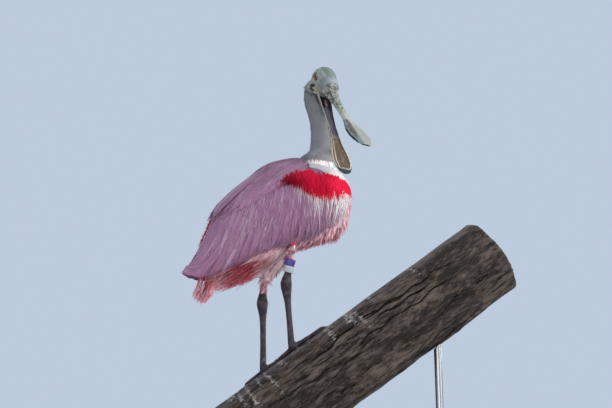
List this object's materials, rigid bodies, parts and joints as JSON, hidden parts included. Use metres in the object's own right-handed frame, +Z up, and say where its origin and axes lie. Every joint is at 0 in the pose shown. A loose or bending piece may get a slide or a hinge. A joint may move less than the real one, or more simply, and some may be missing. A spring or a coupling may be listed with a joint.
{
  "type": "roseate spoonbill display model on a cut of log",
  "caption": "Still, life-size roseate spoonbill with folded wings and open spoon-shaped bill, standing on a sloping log held by a flat board and short rods.",
  "frame": {"origin": "centre of the underside of the stand's board, on the surface it stands on", "axes": "+Z up; +X up the slope of the log, the way the bird's breast faces, turned 20 degrees towards +Y; the picture looks along +Y"},
  "size_m": [0.5374, 0.26, 0.8524],
  "materials": {
    "bare_skin": "bare greenish grey skin, finely wrinkled",
    "bill_horn": "grey-green horn with dark mottling and cream edges",
    "mouth_lining": "moist dark maroon lining",
    "eye": "wet red iris with a dark pupil",
    "neck_feather": "short close pale grey feathers",
    "body_feather": "soft pink feathers",
    "wing_feather": "smooth pink vanes with a crimson patch of plumes at the shoulder",
    "tail_feather": "reddish vanes with frayed pale tips",
    "leg_scale": "dark grey-maroon scaly skin",
    "band_violet": "violet plastic",
    "band_grey": "pale grey plastic",
    "log_wood": "barkless weathered wood with long furrows and pale streaks",
    "board_wood": "dark satin wood",
    "rod_steel": "brushed steel"
  },
  "bodies": {
    "root": {"head": "bare_skin", "bill_upper": "bill_horn", "bill_lower": "bill_horn", "tongue": "mouth_lining", "eye_left": "eye", "eye_right": "eye", "neck_upper": "neck_feather", "neck_lower": "neck_feather", "torso": "body_feather", "wing_left": "wing_feather", "wing_right": "wing_feather", "tail": "tail_feather", "thigh_left": "body_feather", "thigh_right": "body_feather", "shank_left": "leg_scale", "shank_right": "leg_scale", "foot_left": "leg_scale", "foot_right": "leg_scale", "band_violet": "band_violet", "band_grey": "band_grey", "perch_log": "log_wood", "stand_board": "board_wood", "stand_rod_low": "rod_steel", "stand_rod_high": "rod_steel"}
  },
  "joints": []
}
